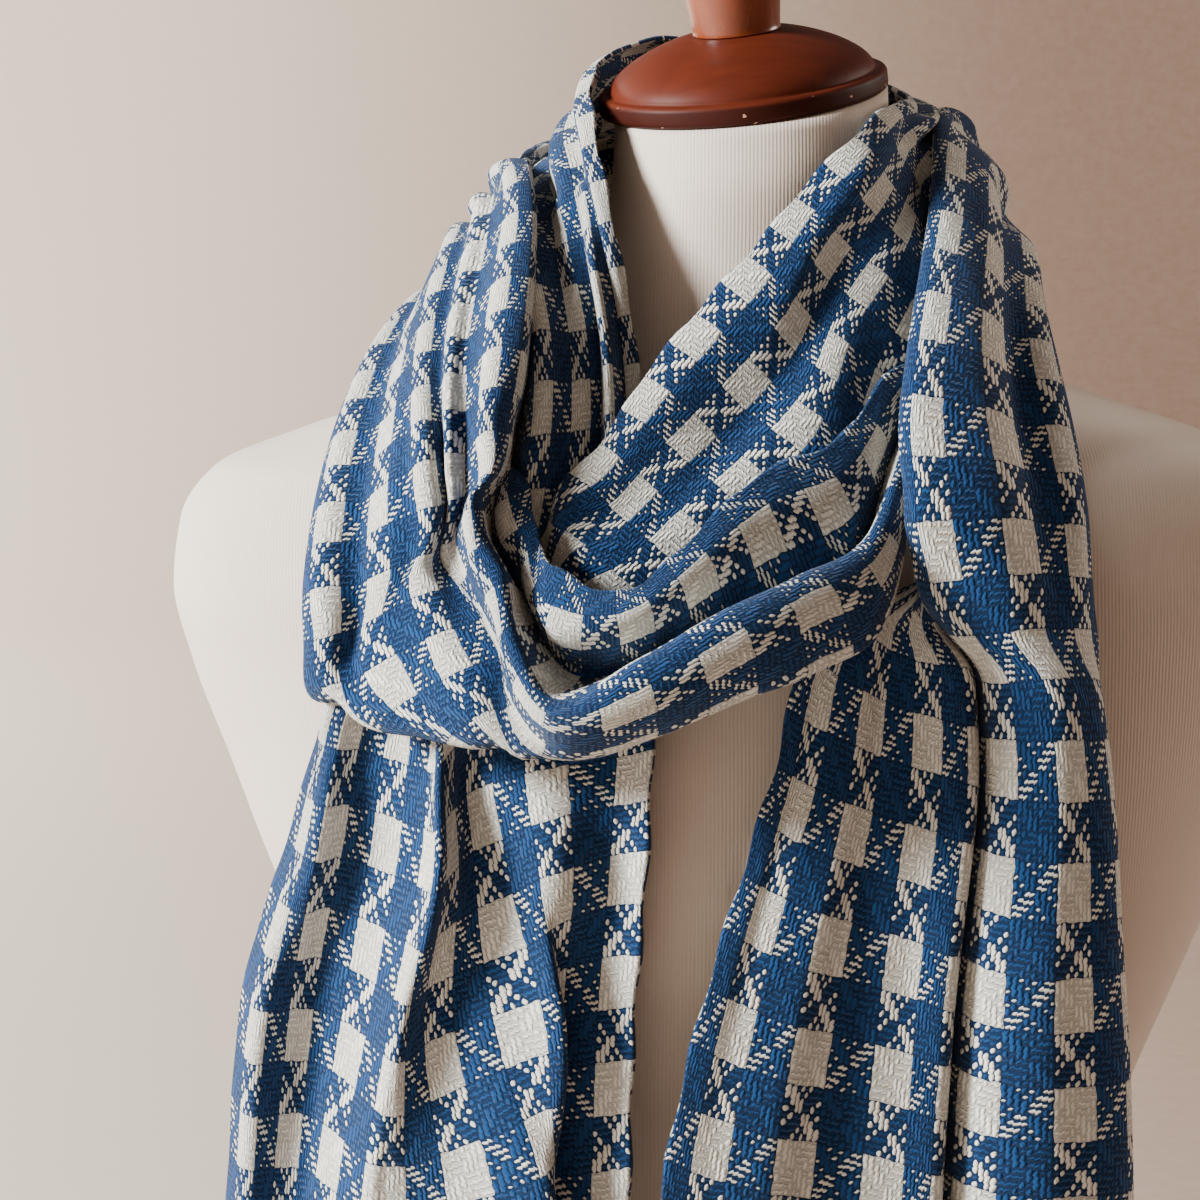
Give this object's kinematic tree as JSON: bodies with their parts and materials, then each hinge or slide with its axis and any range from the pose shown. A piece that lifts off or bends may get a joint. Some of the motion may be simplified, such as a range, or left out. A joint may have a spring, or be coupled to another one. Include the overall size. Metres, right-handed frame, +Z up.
{
  "type": "scarf on a dress form",
  "caption": "Woven houndstooth scarf wound once and a half round the neck of a limbless dress form, both tails hanging down the front.",
  "frame": {"origin": "centre of the base board's flat underside, on the surface that the form stands on", "axes": "+Z up, the form's chest faces -Y, +X is the viewer's right"},
  "size_m": [0.412, 0.2847, 0.7814],
  "materials": {
    "scarf_cloth": "matte, loosely woven blue and cream yarns",
    "form_cover": "matte off-white cover with fine upright ribs",
    "cap_wood": "satin red-brown stain, slightly worn at the rim",
    "finial_wood": "satin honey-brown varnish",
    "base_wood": "satin varnish"
  },
  "bodies": {
    "root": {"base_board": "base_wood", "form_body": "form_cover", "neck_cap": "cap_wood", "finial": "finial_wood", "tail_left": "scarf_cloth", "neck_back_inner": "scarf_cloth", "loop_front": "scarf_cloth", "neck_back_outer": "scarf_cloth", "tail_right": "scarf_cloth"}
  },
  "joints": []
}
